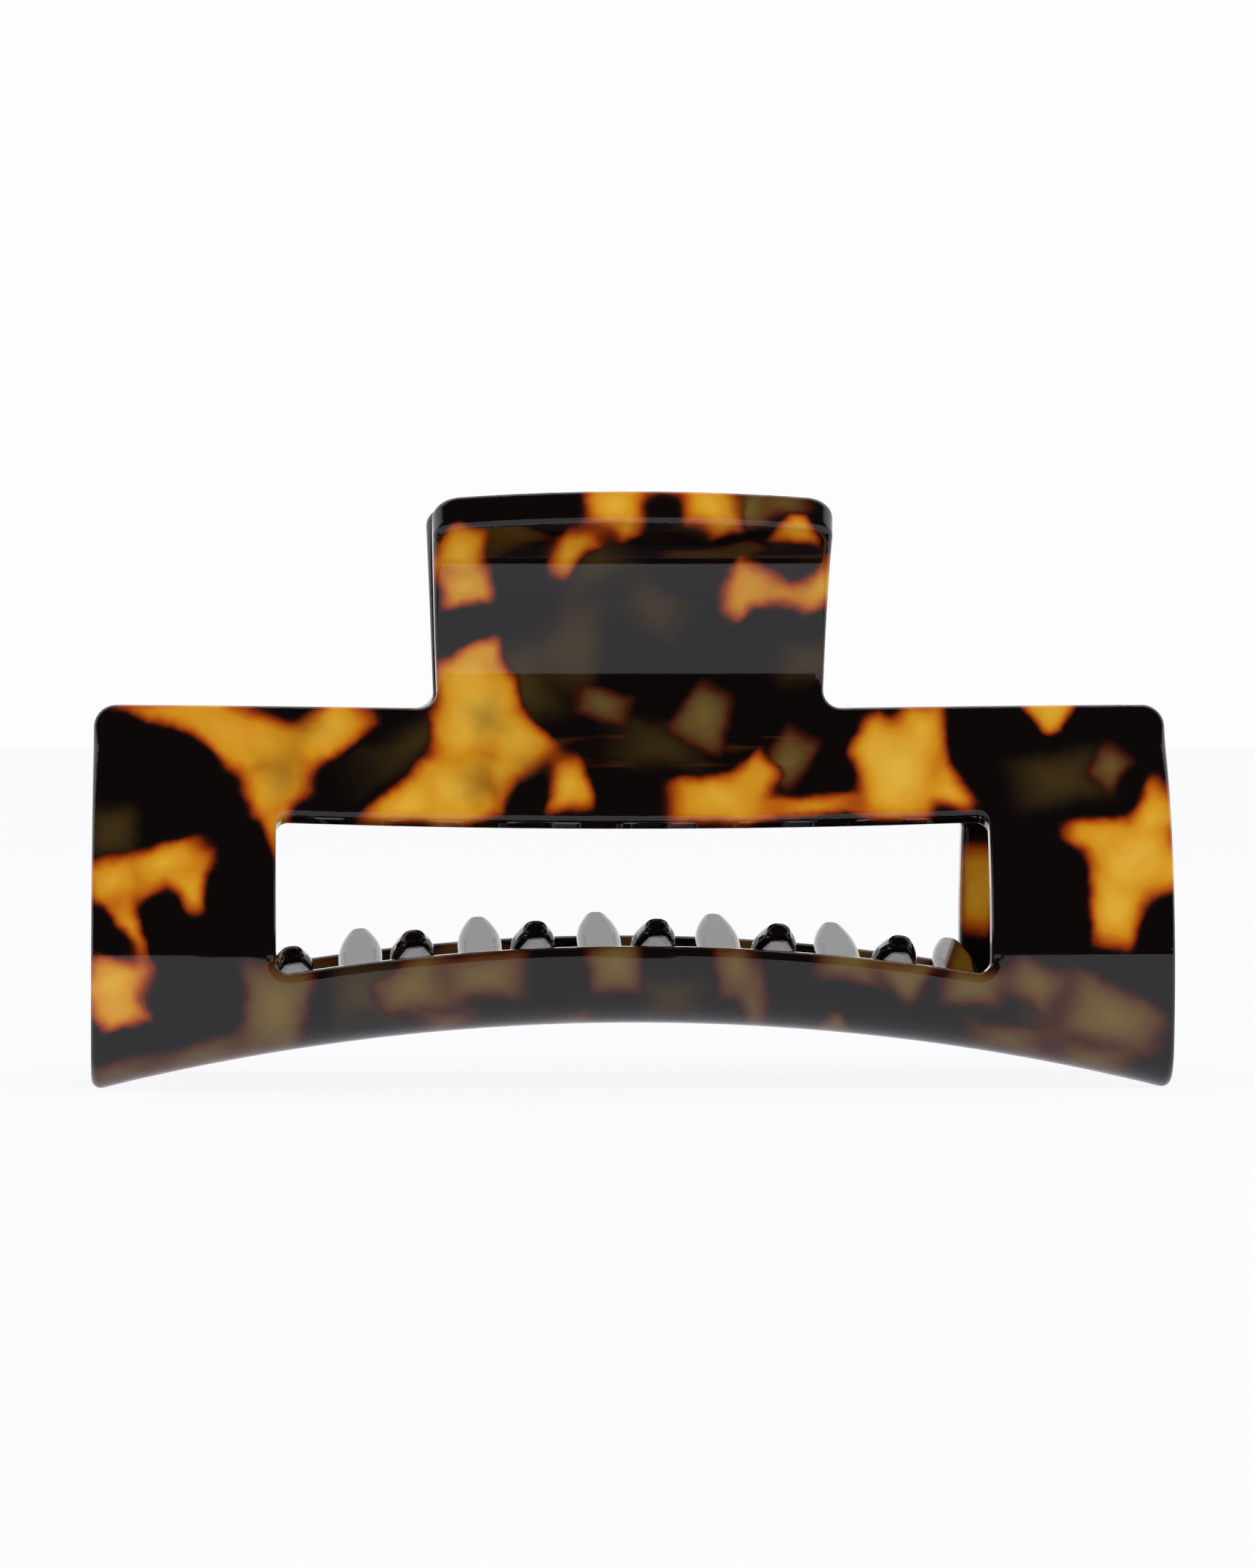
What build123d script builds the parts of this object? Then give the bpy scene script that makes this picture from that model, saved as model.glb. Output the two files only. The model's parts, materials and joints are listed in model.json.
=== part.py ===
from build123d import *
import math
import os

os.makedirs("parts", exist_ok=True)

# ---------------------------------------------------------------------------
# Rectangular cut-out claw clip. Millimetres, +Z up, -Y is the front.
# The origin is under the middle of the clip, where its lowest corners stand.
# "reach" is the distance outwards from the middle plane, so y = -reach on the
# front jaw. The rear jaw is the same part turned half a turn about Z.
# ---------------------------------------------------------------------------

# sheet
SHEET = 3.5
EDGE_ROUND = 0.85

# bent profile of the outer surface
BELLY_REACH = 22.0
BELLY_Z = 13.0
LOWER_BELLY_R = 33.0
WAIST_REACH = 11.5
WAIST_Z = 38.7
UNDER_WAIST_R = 8.0
HANDLE_R = 18.5
HANDLE_TILT = 62.0

# frame outline
HALF_WIDTH = 52.5
HALF_WIDTH_TOP = 52.3
FRAME_TOP_Z = 37.3
FRAME_TOP_SAG = 0.4
FRAME_TOP_SAG_MID = 0.15
FRAME_CORNER_R = 2.2
FOOT_CORNER_R = 2.5
ARCH_CENTRE_Z = 6.27
ARCH_R = 213.0

# window
WINDOW_HALF = 34.6
WINDOW_TOP_Z = 26.5
WINDOW_TOP_LEAN = 0.55
WINDOW_TOP_SAG = 0.7
WINDOW_BOTTOM_Z = 13.8
WINDOW_CORNER_R = 1.2

# handle outline
HANDLE_HALF_WAIST = 18.85
HANDLE_HALF_TOP = 19.5
HANDLE_RISE = 18.2
HANDLE_CROWN = 1.6
HANDLE_CORNER_R = 3.0
ROOT_R = 1.8

# curl under the frame and the teeth
CURL_R = 5.0
TOOTH_RISE = 15.0
TOOTH_RISE_TOP = 12.0
TOOTH_PITCH = 11.85
TOOTH_SHIFT = 0.21
TOOTH_HALF = 2.2
TOOTH_ROOT_HALF = 2.35
TOOTH_TIP_R = 1.2
TOOTH_TIP_Y = 15.0
TOOTH_TAPER_Y = 5.0
GAP_ROOT_REACH = 14.3
GAP_ROOT_R = 2.2
TEETH = range(-3, 5)

# how far the cutters run past what they cut
PAST = 40.0
JUST_PAST = 1.0

# hinge
HINGE_Z = 39.4
PIN_D = 2.0
PIN_FIT = 0.03
LUG_R = 3.3
LUG_W = 4.0
LUG_HEIGHT = 4.6
OUTER_LUG_X = -12.5
INNER_LUG_X = 8.1
WASHER_D = 5.0
WASHER_T = 0.5
WASHER_GAP = 0.1
HEAD_D = 3.6
HEAD_T = 0.9

# torsion spring
SPRING_WIRE = 1.2
SPRING_MEAN_D = 7.2
SPRING_TURNS = 7
SPRING_PITCH = 1.3
SPRING_TIP_Z = 48.5
SPRING_GAP = 0.06


def at(centre, radius, degrees):
    """Point (reach, z) on a circle."""
    a = math.radians(degrees)
    return (centre[0] + radius * math.cos(a), centre[1] + radius * math.sin(a))


def place(point, x=0.0):
    """A profile point (reach, z) in space, on the front jaw's side."""
    return Vector(x, -point[0], point[1])


def arc(centre, radius, start, end, x=0.0):
    """Circular arc of a profile between two angles."""
    mid = at(centre, radius, (start + end) / 2)
    a = place(at(centre, radius, start), x)
    b = place(at(centre, radius, end), x)
    return ThreePointArc(a, place(mid, x), b)


def outline(*lines):
    """Flat face inside lines that meet end to end."""
    return make_face([edge for line in lines for edge in line.edges()])


def joined(edges):
    """Closed face from edges in order, with straight lines across the breaks."""
    chain = []
    for i, edge in enumerate(edges):
        chain.append(edge)
        after = edges[(i + 1) % len(edges)]
        if (edge @ 1 - after @ 0).length > 1e-6:
            chain.append(Line(edge @ 1, after @ 0))
    return Face(Wire(chain))


# --- bent band -------------------------------------------------------------

step = BELLY_REACH - WAIST_REACH
centres_apart = (step**2 + (WAIST_Z - BELLY_Z) ** 2) / (2 * step)
UPPER_BELLY_R = centres_apart - UNDER_WAIST_R
LEAN = math.degrees(math.asin((WAIST_Z - BELLY_Z) / centres_apart))
HANDLE_C = (WAIST_REACH + HANDLE_R, WAIST_Z)
UNDER_C = (WAIST_REACH + UNDER_WAIST_R, WAIST_Z)
BELLY_C = (BELLY_REACH - UPPER_BELLY_R, BELLY_Z)
LOWER_C = (BELLY_REACH - LOWER_BELLY_R, BELLY_Z)


def arch_drop(x):
    """How far the arched bottom has fallen at x from its middle."""
    return ARCH_R - math.sqrt(ARCH_R**2 - x**2)


def upper_band(half):
    """Handle, waist and belly as one bent band, 2 x half wide."""
    section = joined([
        arc(HANDLE_C, HANDLE_R, 180 - HANDLE_TILT, 180),
        arc(UNDER_C, UNDER_WAIST_R, 180, 180 + LEAN),
        arc(BELLY_C, UPPER_BELLY_R, LEAN, 0),
        arc(BELLY_C, UPPER_BELLY_R - SHEET, 0, LEAN),
        arc(UNDER_C, UNDER_WAIST_R + SHEET, 180 + LEAN, 180),
        arc(HANDLE_C, HANDLE_R + SHEET, 180, 180 - HANDLE_TILT),
    ])
    return extrude(section, amount=half, dir=(1, 0, 0), both=True)


def lower_section(x):
    """Belly, curl and tooth slab where the band is cut at x."""
    low = ARCH_CENTRE_Z - arch_drop(x)
    swing = math.degrees(math.asin((BELLY_Z - CURL_R - low) / (LOWER_BELLY_R - CURL_R)))
    curl_c = at(LOWER_C, LOWER_BELLY_R - CURL_R, -swing)
    inner_r = CURL_R - SHEET
    under = at(curl_c, CURL_R, -90 - TOOTH_RISE)
    over = at(curl_c, inner_r, -90 - TOOTH_RISE_TOP)
    end = -TOOTH_TIP_Y - 1.0
    under_end = (end, under[1] + (under[0] - end) * math.tan(math.radians(TOOTH_RISE)))
    over_end = (end, over[1] + (over[0] - end) * math.tan(math.radians(TOOTH_RISE_TOP)))
    return joined([
        arc(LOWER_C, LOWER_BELLY_R, 0, -swing, x),
        arc(curl_c, CURL_R, -swing, -90 - TOOTH_RISE, x),
        Line(place(under, x), place(under_end, x)),
        Line(place(over_end, x), place(over, x)),
        arc(curl_c, inner_r, -90 - TOOTH_RISE_TOP, -swing, x),
        arc(LOWER_C, LOWER_BELLY_R - SHEET, -swing, 0, x),
    ])


def lower_band(half):
    """Belly below its widest line, the curl and the slab the teeth are cut from."""
    stations = [half * i / 4 for i in range(-4, 5)]
    return loft([lower_section(x) for x in stations])


# --- outlines --------------------------------------------------------------


def across(reach_z, lean):
    """Plane square to the sheet, x along X and y up the sheet."""
    a = math.radians(lean)
    return Plane(
        origin=place(reach_z), x_dir=(1, 0, 0), z_dir=(0, -math.cos(a), math.sin(a))
    )


def belly_point(z):
    """Point and lean of the outer surface at a height above the belly line."""
    lean = math.degrees(math.asin((z - BELLY_Z) / UPPER_BELLY_R))
    return at(BELLY_C, UPPER_BELLY_R, lean), lean


def frame_top_point():
    """Point and lean of the outer surface at the frame's top edge."""
    lean = math.degrees(math.asin((WAIST_Z - FRAME_TOP_Z) / UNDER_WAIST_R))
    return at(UNDER_C, UNDER_WAIST_R, 180 + lean), lean


def wing_cutter(side):
    """Everything beside the handle and above the frame's top edge."""
    point, lean = frame_top_point()
    inner = side * HANDLE_HALF_WAIST
    flare = (HANDLE_HALF_TOP - HANDLE_HALF_WAIST) * PAST / HANDLE_RISE
    flared = inner + side * flare
    outer = side * (HALF_WIDTH + 2 * JUST_PAST)
    mid = ((inner + outer) / 2, -FRAME_TOP_SAG_MID)
    edge = ThreePointArc((inner, -FRAME_TOP_SAG), mid, (outer, 0))
    rest = Polyline((outer, 0), (outer, PAST), (flared, PAST), (inner, -FRAME_TOP_SAG))
    face = outline(edge, rest)
    face = fillet(face.vertices().sort_by_distance((inner, -FRAME_TOP_SAG))[0], ROOT_R)
    return extrude(across(point, lean) * face, amount=PAST, both=True)


def crown_cutter():
    """Everything beyond the handle's crowned end, square to the sheet there."""
    end = at(HANDLE_C, HANDLE_R, 180 - HANDLE_TILT)
    half = HANDLE_HALF_TOP + JUST_PAST
    above = 2 * SHEET
    face = outline(
        ThreePointArc((-half, -HANDLE_CROWN), (0, 0), (half, -HANDLE_CROWN)),
        Polyline((half, -HANDLE_CROWN), (half, above), (-half, above), (-half, -HANDLE_CROWN)),
    )
    return extrude(across(end, -HANDLE_TILT) * face, amount=2 * SHEET, both=True)


def side_cutter(side):
    """Everything beyond the frame's slightly tapered end."""
    beyond = side * (HALF_WIDTH + PAST)
    above = FRAME_TOP_Z + PAST
    face = make_face(Polyline(
        (side * HALF_WIDTH, -SHEET),
        (side * HALF_WIDTH_TOP, FRAME_TOP_Z),
        (side * HALF_WIDTH_TOP, above),
        (beyond, above),
        (beyond, -SHEET),
        close=True,
    ))
    return extrude(Plane.XZ * face, amount=PAST, both=True)


def window_cutter():
    """Window: top edge leaning part of the way with the sheet, bottom edge parallel to the arch."""
    point, lean = belly_point(WINDOW_TOP_Z)
    half = WINDOW_HALF
    down = (WINDOW_BOTTOM_Z - WINDOW_TOP_Z) / 2
    top = outline(
        ThreePointArc((-half, 0), (0, -WINDOW_TOP_SAG), (half, 0)),
        Polyline((half, 0), (half, down), (-half, down), (-half, 0)),
    )
    top = fillet(top.vertices().sort_by(Axis.Y)[-2:], WINDOW_CORNER_R)
    low = WINDOW_BOTTOM_Z - arch_drop(half)
    up = WINDOW_TOP_Z + down / 2
    bottom = outline(
        ThreePointArc((-half, low), (0, WINDOW_BOTTOM_Z), (half, low)),
        Polyline((half, low), (half, up), (-half, up), (-half, low)),
    )
    bottom = fillet(bottom.vertices().sort_by(Axis.Y)[:2], WINDOW_CORNER_R)
    upper = extrude(across(point, WINDOW_TOP_LEAN * lean) * top, amount=3 * SHEET, both=True)
    lower = extrude(Plane.XZ * bottom, amount=PAST)
    return upper + lower


def comb_cutter():
    """Seen from above: the gaps between the teeth and the room beyond their tips."""
    root_y = -GAP_ROOT_REACH
    taper = TOOTH_TIP_Y - TOOTH_TIP_R - TOOTH_TAPER_Y
    side_r = (taper**2 + TOOTH_HALF**2 - TOOTH_TIP_R**2) / (2 * (TOOTH_HALF - TOOTH_TIP_R))
    turn = math.asin(taper / (side_r - TOOTH_TIP_R))
    tip_x = TOOTH_TIP_R * math.cos(turn)
    tip_y = TOOTH_TIP_Y - TOOTH_TIP_R + TOOTH_TIP_R * math.sin(turn)
    mid_x = TOOTH_HALF - side_r * (1 - math.cos(turn / 2))
    mid_y = TOOTH_TAPER_Y + side_r * math.sin(turn / 2)
    tooth = outline(
        ThreePointArc((tip_x, tip_y), (0, TOOTH_TIP_Y), (-tip_x, tip_y)),
        ThreePointArc((-tip_x, tip_y), (-mid_x, mid_y), (-TOOTH_HALF, TOOTH_TAPER_Y)),
        Polyline(
            (-TOOTH_HALF, TOOTH_TAPER_Y), (-TOOTH_ROOT_HALF, root_y),
            (-TOOTH_ROOT_HALF, root_y - JUST_PAST), (TOOTH_ROOT_HALF, root_y - JUST_PAST),
            (TOOTH_ROOT_HALF, root_y), (TOOTH_HALF, TOOTH_TAPER_Y),
        ),
        ThreePointArc((TOOTH_HALF, TOOTH_TAPER_Y), (mid_x, mid_y), (tip_x, tip_y)),
    )
    wide = 2 * HALF_WIDTH + PAST
    deep = TOOTH_TIP_Y + 5 * JUST_PAST
    cut = Pos(0, (root_y + deep) / 2) * Rectangle(wide, deep - root_y)
    for n in TEETH:
        cut -= Pos((n - TOOTH_SHIFT) * TOOTH_PITCH, 0) * tooth
    roots = [v for v in cut.vertices() if abs(v.Y - root_y) < 1e-6]
    roots = [v for v in roots if abs(v.X) < HALF_WIDTH]
    cut = fillet(roots, GAP_ROOT_R)
    return Pos(0, 0, -SHEET) * extrude(cut, amount=WINDOW_TOP_Z)


# --- jaw -------------------------------------------------------------------


def sharp_edges(shape):
    """Edges whose two faces meet at more than 40 degrees from flush."""
    faces_of = {}
    for face in shape.faces():
        for edge in face.edges():
            faces_of.setdefault(edge, []).append(face)
    found = []
    for edge, faces in faces_of.items():
        if len(faces) == 2:
            point = edge @ 0.5
            if faces[0].normal_at(point).get_angle(faces[1].normal_at(point)) > 40:
                found.append(edge)
    return found


def thickness_edges(shape):
    """Short straight-through edges as long as the sheet is thick."""
    return [edge for edge in shape.edges() if abs(edge.length - SHEET) < 0.3]


def window_solid(band):
    """What the window takes out of the band, its rims rounded."""
    cut = (band - window_cutter()).solids()[0]
    rims = [edge for edge in sharp_edges(cut) if abs((edge @ 0.5).X) < WINDOW_HALF + 0.2]
    rims = [edge for edge in rims if 9 < (edge @ 0.5).Z < 28 and (edge @ 0.5).Y < -15.5]
    return band - cut.fillet(EDGE_ROUND, rims)


def make_jaw():
    """Front jaw: handle, frame and teeth from one sheet, every edge rounded."""
    band = upper_band(HALF_WIDTH + 1.5) + lower_band(HALF_WIDTH + 1.5)
    jaw = band - crown_cutter() - comb_cutter()
    for side in (-1, 1):
        jaw = jaw - side_cutter(side) - wing_cutter(side)
    jaw = jaw.solids()[0]
    corners = [edge for edge in thickness_edges(jaw) if (edge @ 0.5).Z > 50]
    jaw = jaw.fillet(HANDLE_CORNER_R, corners)
    corners = [edge for edge in thickness_edges(jaw) if 34 < (edge @ 0.5).Z < 38]
    corners = [edge for edge in corners if abs((edge @ 0.5).X) > WINDOW_HALF]
    jaw = jaw.fillet(FRAME_CORNER_R, corners)
    feet = [edge for edge in jaw.edges() if abs((edge @ 0.5).X) > HALF_WIDTH - 0.5]
    feet = [edge for edge in feet if abs((edge @ 0.5).Y + GAP_ROOT_REACH) < 0.05]
    jaw = jaw.fillet(FOOT_CORNER_R, feet)
    jaw = jaw.fillet(EDGE_ROUND, sharp_edges(jaw))
    return (jaw - window_solid(band)).solids().sort_by(SortBy.VOLUME)[-1]


# --- hinge -----------------------------------------------------------------


def lug(x, hole_r):
    """Acetate knuckle bonded inside the handle's root, centred on x."""
    wall = WAIST_REACH - SHEET + 1.2
    plate = Pos(0, HINGE_Z) * Circle(LUG_R)
    web = make_face(Polyline(
        (0, HINGE_Z + LUG_R),
        (-wall, HINGE_Z + LUG_HEIGHT),
        (-wall, HINGE_Z - LUG_HEIGHT),
        (0, HINGE_Z - LUG_R),
        close=True,
    ))
    plate = plate + web - Pos(0, HINGE_Z) * Circle(hole_r)
    body = extrude(Plane.YZ * plate, amount=LUG_W / 2, both=True)
    body = body - upper_band(HANDLE_HALF_WAIST)
    return Pos(x, 0, 0) * body.solids().sort_by(SortBy.VOLUME)[-1]


def turned(radius, start, end):
    """Cylinder along the hinge axis between two x positions."""
    plane = Plane(origin=(start, 0, HINGE_Z), z_dir=(1, 0, 0))
    return extrude(plane * Circle(radius), amount=end - start)


def washer(start):
    """Flat steel washer on the pin, from start towards +X."""
    ring = turned(WASHER_D / 2, start, start + WASHER_T) - turned(PIN_D / 2, start - 1, start + 2)
    rim = [edge for edge in ring.edges() if edge.length > 3 * PIN_D + 2]
    return fillet(rim, 0.12)


def pin(left, right):
    """Steel pin with a rolled head on each end."""
    body = turned(PIN_D / 2, left, right)
    for start, end in ((left - HEAD_T, left), (right, right + HEAD_T)):
        head = turned(HEAD_D / 2, start, end)
        outer = max(head.edges(), key=lambda edge: abs(edge.center().X))
        body += fillet(outer, HEAD_T * 0.8)
    return body


def spring():
    """Torsion spring: a coil round the pin and a leg along each handle."""
    r = SPRING_MEAN_D / 2
    reach = WAIST_REACH + HANDLE_R - math.sqrt(
        (HANDLE_R + SHEET + SPRING_WIRE / 2 + SPRING_GAP) ** 2 - (SPRING_TIP_Z - WAIST_Z) ** 2
    )
    away = math.hypot(reach, SPRING_TIP_Z - HINGE_Z)
    start = math.atan2(SPRING_TIP_Z - HINGE_Z, -reach) + math.acos(r / away)
    turns = SPRING_TURNS + (3 * math.pi - 2 * start) / (2 * math.pi)
    half = turns * SPRING_PITCH / 2
    frame = Plane(
        origin=(-half, 0, HINGE_Z), x_dir=(0, math.cos(start), math.sin(start)), z_dir=(1, 0, 0)
    )
    path = frame * Helix(pitch=SPRING_PITCH, height=2 * half, radius=r)
    wire = Plane(origin=path @ 0, z_dir=path % 0) * Circle(SPRING_WIRE / 2)
    body = sweep(wire, path=path, is_frenet=True)
    length = math.sqrt(away**2 - r**2)
    front_end = Plane(origin=path @ 0, z_dir=-(path % 0)) * Circle(SPRING_WIRE / 2)
    rear_end = Plane(origin=path @ 1, z_dir=path % 1) * Circle(SPRING_WIRE / 2)
    return body + extrude(front_end, amount=length) + extrude(rear_end, amount=length)


# --- nodes -----------------------------------------------------------------

half_turn = Rot(0, 0, 180)
fixed_r = PIN_D / 2
running_r = PIN_D / 2 + PIN_FIT
left_face = OUTER_LUG_X - LUG_W / 2 - WASHER_T
right_face = -OUTER_LUG_X + LUG_W / 2 + WASHER_GAP + WASHER_T
front_jaw = make_jaw()

nodes = {
    "front_jaw": front_jaw,
    "rear_jaw": half_turn * front_jaw,
    "front_lug_left": lug(OUTER_LUG_X, fixed_r),
    "front_lug_right": lug(INNER_LUG_X, fixed_r),
    "rear_lug_left": half_turn * lug(INNER_LUG_X, running_r),
    "rear_lug_right": half_turn * lug(OUTER_LUG_X, running_r),
    "hinge_pin": pin(left_face, right_face),
    "washer_left": washer(left_face),
    "washer_right": washer(right_face - WASHER_T),
    "torsion_spring": spring(),
}

for name, shape in nodes.items():
    box = shape.bounding_box()
    print(name, round(shape.volume, 2), len(shape.solids()), shape.is_valid, box)
    export_step(shape, f"parts/{name}.step")
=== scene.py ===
# %% [markdown]
# # A tortoise acetate claw clip
#
# A large claw clip for long hair. Two jaws are sawn from a tortoise-pattern acetate sheet,
# bent warm and polished. Each has a squeeze handle, a frame with a window and a row of
# teeth. Four small acetate knuckles are bonded behind the handles, a steel pin runs
# through them, and a torsion spring on the pin pulls the teeth together.
#
# The shapes that move and fit come from the CAD frame. This script gives every piece its
# finish, winds the spring as real wire and sets up the studio.

# %% Load the frame
import json
import math

import bpy
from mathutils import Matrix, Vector


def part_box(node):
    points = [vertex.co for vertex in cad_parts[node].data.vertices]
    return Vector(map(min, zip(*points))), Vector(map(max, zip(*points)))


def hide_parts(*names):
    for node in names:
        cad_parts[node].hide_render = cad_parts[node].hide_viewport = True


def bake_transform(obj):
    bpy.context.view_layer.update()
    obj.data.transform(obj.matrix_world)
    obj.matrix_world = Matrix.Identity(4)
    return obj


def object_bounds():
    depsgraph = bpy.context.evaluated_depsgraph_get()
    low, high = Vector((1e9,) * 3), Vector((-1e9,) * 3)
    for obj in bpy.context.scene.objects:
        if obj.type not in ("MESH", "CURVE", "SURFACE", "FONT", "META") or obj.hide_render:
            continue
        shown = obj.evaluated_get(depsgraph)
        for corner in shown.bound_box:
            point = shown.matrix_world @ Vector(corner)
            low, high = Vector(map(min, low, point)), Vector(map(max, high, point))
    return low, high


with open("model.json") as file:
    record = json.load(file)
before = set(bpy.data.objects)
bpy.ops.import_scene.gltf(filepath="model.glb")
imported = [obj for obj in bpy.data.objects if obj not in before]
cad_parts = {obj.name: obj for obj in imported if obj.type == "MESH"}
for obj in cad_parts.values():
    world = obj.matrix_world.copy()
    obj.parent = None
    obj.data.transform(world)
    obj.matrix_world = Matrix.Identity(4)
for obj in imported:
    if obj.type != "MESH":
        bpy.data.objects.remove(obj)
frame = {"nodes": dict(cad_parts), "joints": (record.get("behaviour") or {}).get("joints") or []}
cad_low, cad_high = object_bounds()
centre = (cad_low + cad_high) / 2
MM = 0.001
print("clip in mm:", [round(side / MM, 1) for side in cad_high - cad_low])

# %% [markdown]
# ## Camera
#
# A long lens a good way off keeps the two jaws almost the same size, as a product picture
# does. A short lens close by would make the front jaw look much larger than the rear one.
# The camera is a little above the floor and a little left of the middle, so that the right
# end of the rear frame shows inside the window.

# %% Camera
CAMERA_LENS = 205.5
CAMERA_DISTANCE = 0.864
CAMERA_YAW = 2.29
CAMERA_DOWN = 0.55
AIM_LEFT = 0.7 * MM
AIM_UP = 0.6 * MM
yaw, down = math.radians(CAMERA_YAW), math.radians(CAMERA_DOWN)
looking = Vector((math.sin(yaw) * math.cos(down), math.cos(yaw) * math.cos(down), -math.sin(down)))
aim = Vector((-AIM_LEFT, cad_low.y, centre.z + AIM_UP))

camera = bpy.data.objects.new("camera", bpy.data.cameras.new("camera"))
camera.data.lens = CAMERA_LENS
camera.rotation_mode = "QUATERNION"
camera.location = aim - looking * CAMERA_DISTANCE
camera.rotation_quaternion = looking.to_track_quat("-Z", "Y")
bpy.context.scene.collection.objects.link(camera)
bpy.context.scene.camera = camera
bpy.context.scene.view_settings.view_transform = "Standard"
print("camera at mm:", [round(v / MM, 1) for v in camera.location])

# %% [markdown]
# ## Small helpers
#
# Colours are picked as sRGB hex codes, but shaders work in linear light, so one
# function converts them. Another adds a node, sets it up and wires it in one call, which
# keeps each material short enough to read.

# %% Helpers for colours and nodes
def linear(code):
    """An sRGB hex code such as #dcaa32 as linear RGBA."""
    channels = [int(code[i : i + 2], 16) / 255 for i in (1, 3, 5)]
    return [c / 12.92 if c <= 0.04045 else ((c + 0.055) / 1.055) ** 2.4 for c in channels] + [1.0]


def add(tree, kind, inputs=None, **settings):
    """A new node with its settings. An input's value may be a socket, which is then linked."""
    node = tree.nodes.new(kind)
    for name, value in settings.items():
        setattr(node, name, value)
    for key, value in (inputs or {}).items():
        if isinstance(value, bpy.types.NodeSocket):
            tree.links.new(value, node.inputs[key])
        else:
            node.inputs[key].default_value = value
    return node


def new_material(name):
    """An empty material and its node tree."""
    material = bpy.data.materials.new(name)
    material.use_nodes = True
    material.node_tree.nodes.clear()
    return material, material.node_tree


print("half of sRGB white is", round(linear("#808080")[0], 3), "in linear light")

# %% [markdown]
# ## Floor
#
# The clip stands on white paper. Polished acetate is a black mirror at a glance, so what
# matters as much as the lights is what it mirrors. A large sheet fills the picture, and a
# short one that only reflections see ends a hand's span in front of the clip. So the
# surfaces that lean down mirror white paper, and those that face the camera mirror the
# dark room and keep their full colour. The paper glows a little, which keeps its shadow faint.

# %% Paper
PAPER_GLOW = 0.91
PAPER_WHITE = "#4a4a4b"
MIRRORED_WHITE = "#f0f0f4"
FLOOR_HALF = 6.0
MIRRORED_FRONT = 0.235
MIRRORED_SIDE = 0.9
MIRRORED_DROP = 0.1 * MM
PAPER_ROUGH = 0.9


def paper_material(name, white, glow):
    """White card: matt, with some glow of its own to stay pale in the clip's shadow."""
    material, tree = new_material(name)
    shade = add(tree, "ShaderNodeBsdfPrincipled", {
        "Base Color": linear(white),
        "Roughness": PAPER_ROUGH,
        "Specular IOR Level": 0.0,
        "Emission Color": linear("#fdfdff"),
        "Emission Strength": glow,
    })
    add(tree, "ShaderNodeOutputMaterial", {"Surface": shade.outputs["BSDF"]})
    return material


def paper_sheet(name, material, left, right, front, back, height):
    """A flat rectangle of paper facing up."""
    mesh = bpy.data.meshes.new(name)
    corners = [(left, front), (right, front), (right, back), (left, back)]
    mesh.from_pydata([(*corner, height) for corner in corners], [], [(0, 1, 2, 3)])
    mesh.materials.append(material)
    sheet = bpy.data.objects.new(name, mesh)
    bpy.context.scene.collection.objects.link(sheet)
    return sheet


card = paper_material("white_card_matt", PAPER_WHITE, PAPER_GLOW)
mirrored_card = paper_material("white_card_in_reflections", MIRRORED_WHITE, 0.0)
floor = paper_sheet("floor", card, -FLOOR_HALF, FLOOR_HALF, -FLOOR_HALF, FLOOR_HALF, cad_low.z)
floor.visible_glossy = False
mirrored = paper_sheet(
    "mirrored_floor", mirrored_card, -MIRRORED_SIDE, MIRRORED_SIDE,
    cad_low.y - MIRRORED_FRONT, MIRRORED_SIDE, cad_low.z - MIRRORED_DROP,
)
mirrored.visible_camera = False
mirrored.visible_diffuse = False
mirrored.visible_shadow = False
print("mirrored paper ends", MIRRORED_FRONT / MM, "mm in front of the clip")

# %% [markdown]
# ## Light
#
# Soft light comes from all round, with two wide panels above the camera and one behind the
# clip for some shape. The panels are hidden from reflections, as a studio hides them with a
# polariser, so no white squares lie on the clip. Behind the clip the room is white, which
# draws the pale lines along the edges and the domes on the teeth.

# %% Room and panels
ROOM_WHITE = 0.98
ROOM_SOFT = 0.95
ROOM_DARK = 0.006
MIRRORED_ROOM = 1.05
BEHIND_FROM, BEHIND_FULL = 0.04, 0.35
PANEL_WATTS = 0.9
PANEL_SIZE = 0.6
PANEL_DISTANCE = 1.0
PANELS = (("panel_left", -38, 42), ("panel_right", 42, 38), ("panel_back", 170, 50))


def make_room():
    """White to the camera, soft to matt surfaces, and to mirrors white only behind the clip."""
    world = bpy.data.worlds.new("studio_room")
    world.use_nodes = True
    world.cycles.sampling_method = "NONE"
    tree = world.node_tree
    tree.nodes.clear()
    direction = add(tree, "ShaderNodeTexCoord").outputs["Generated"]
    backwards = add(tree, "ShaderNodeSeparateXYZ", {0: direction}).outputs["Y"]
    mirrored_room = add(tree, "ShaderNodeMapRange", {
        "Value": backwards, "From Min": BEHIND_FROM, "From Max": BEHIND_FULL,
        "To Min": ROOM_DARK, "To Max": MIRRORED_ROOM,
    }, interpolation_type="SMOOTHSTEP").outputs["Result"]
    ray = add(tree, "ShaderNodeLightPath")
    soft_or_mirrored = add(tree, "ShaderNodeMix", {
        "Factor": ray.outputs["Is Glossy Ray"], 2: ROOM_SOFT, 3: mirrored_room,
    }).outputs[0]
    seen = add(tree, "ShaderNodeMix", {
        "Factor": ray.outputs["Is Camera Ray"], 2: soft_or_mirrored, 3: ROOM_WHITE,
    }).outputs[0]
    background = add(tree, "ShaderNodeBackground", {"Color": linear("#ffffff"), "Strength": seen})
    add(tree, "ShaderNodeOutputWorld", {"Surface": background.outputs["Background"]})
    return world


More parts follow.
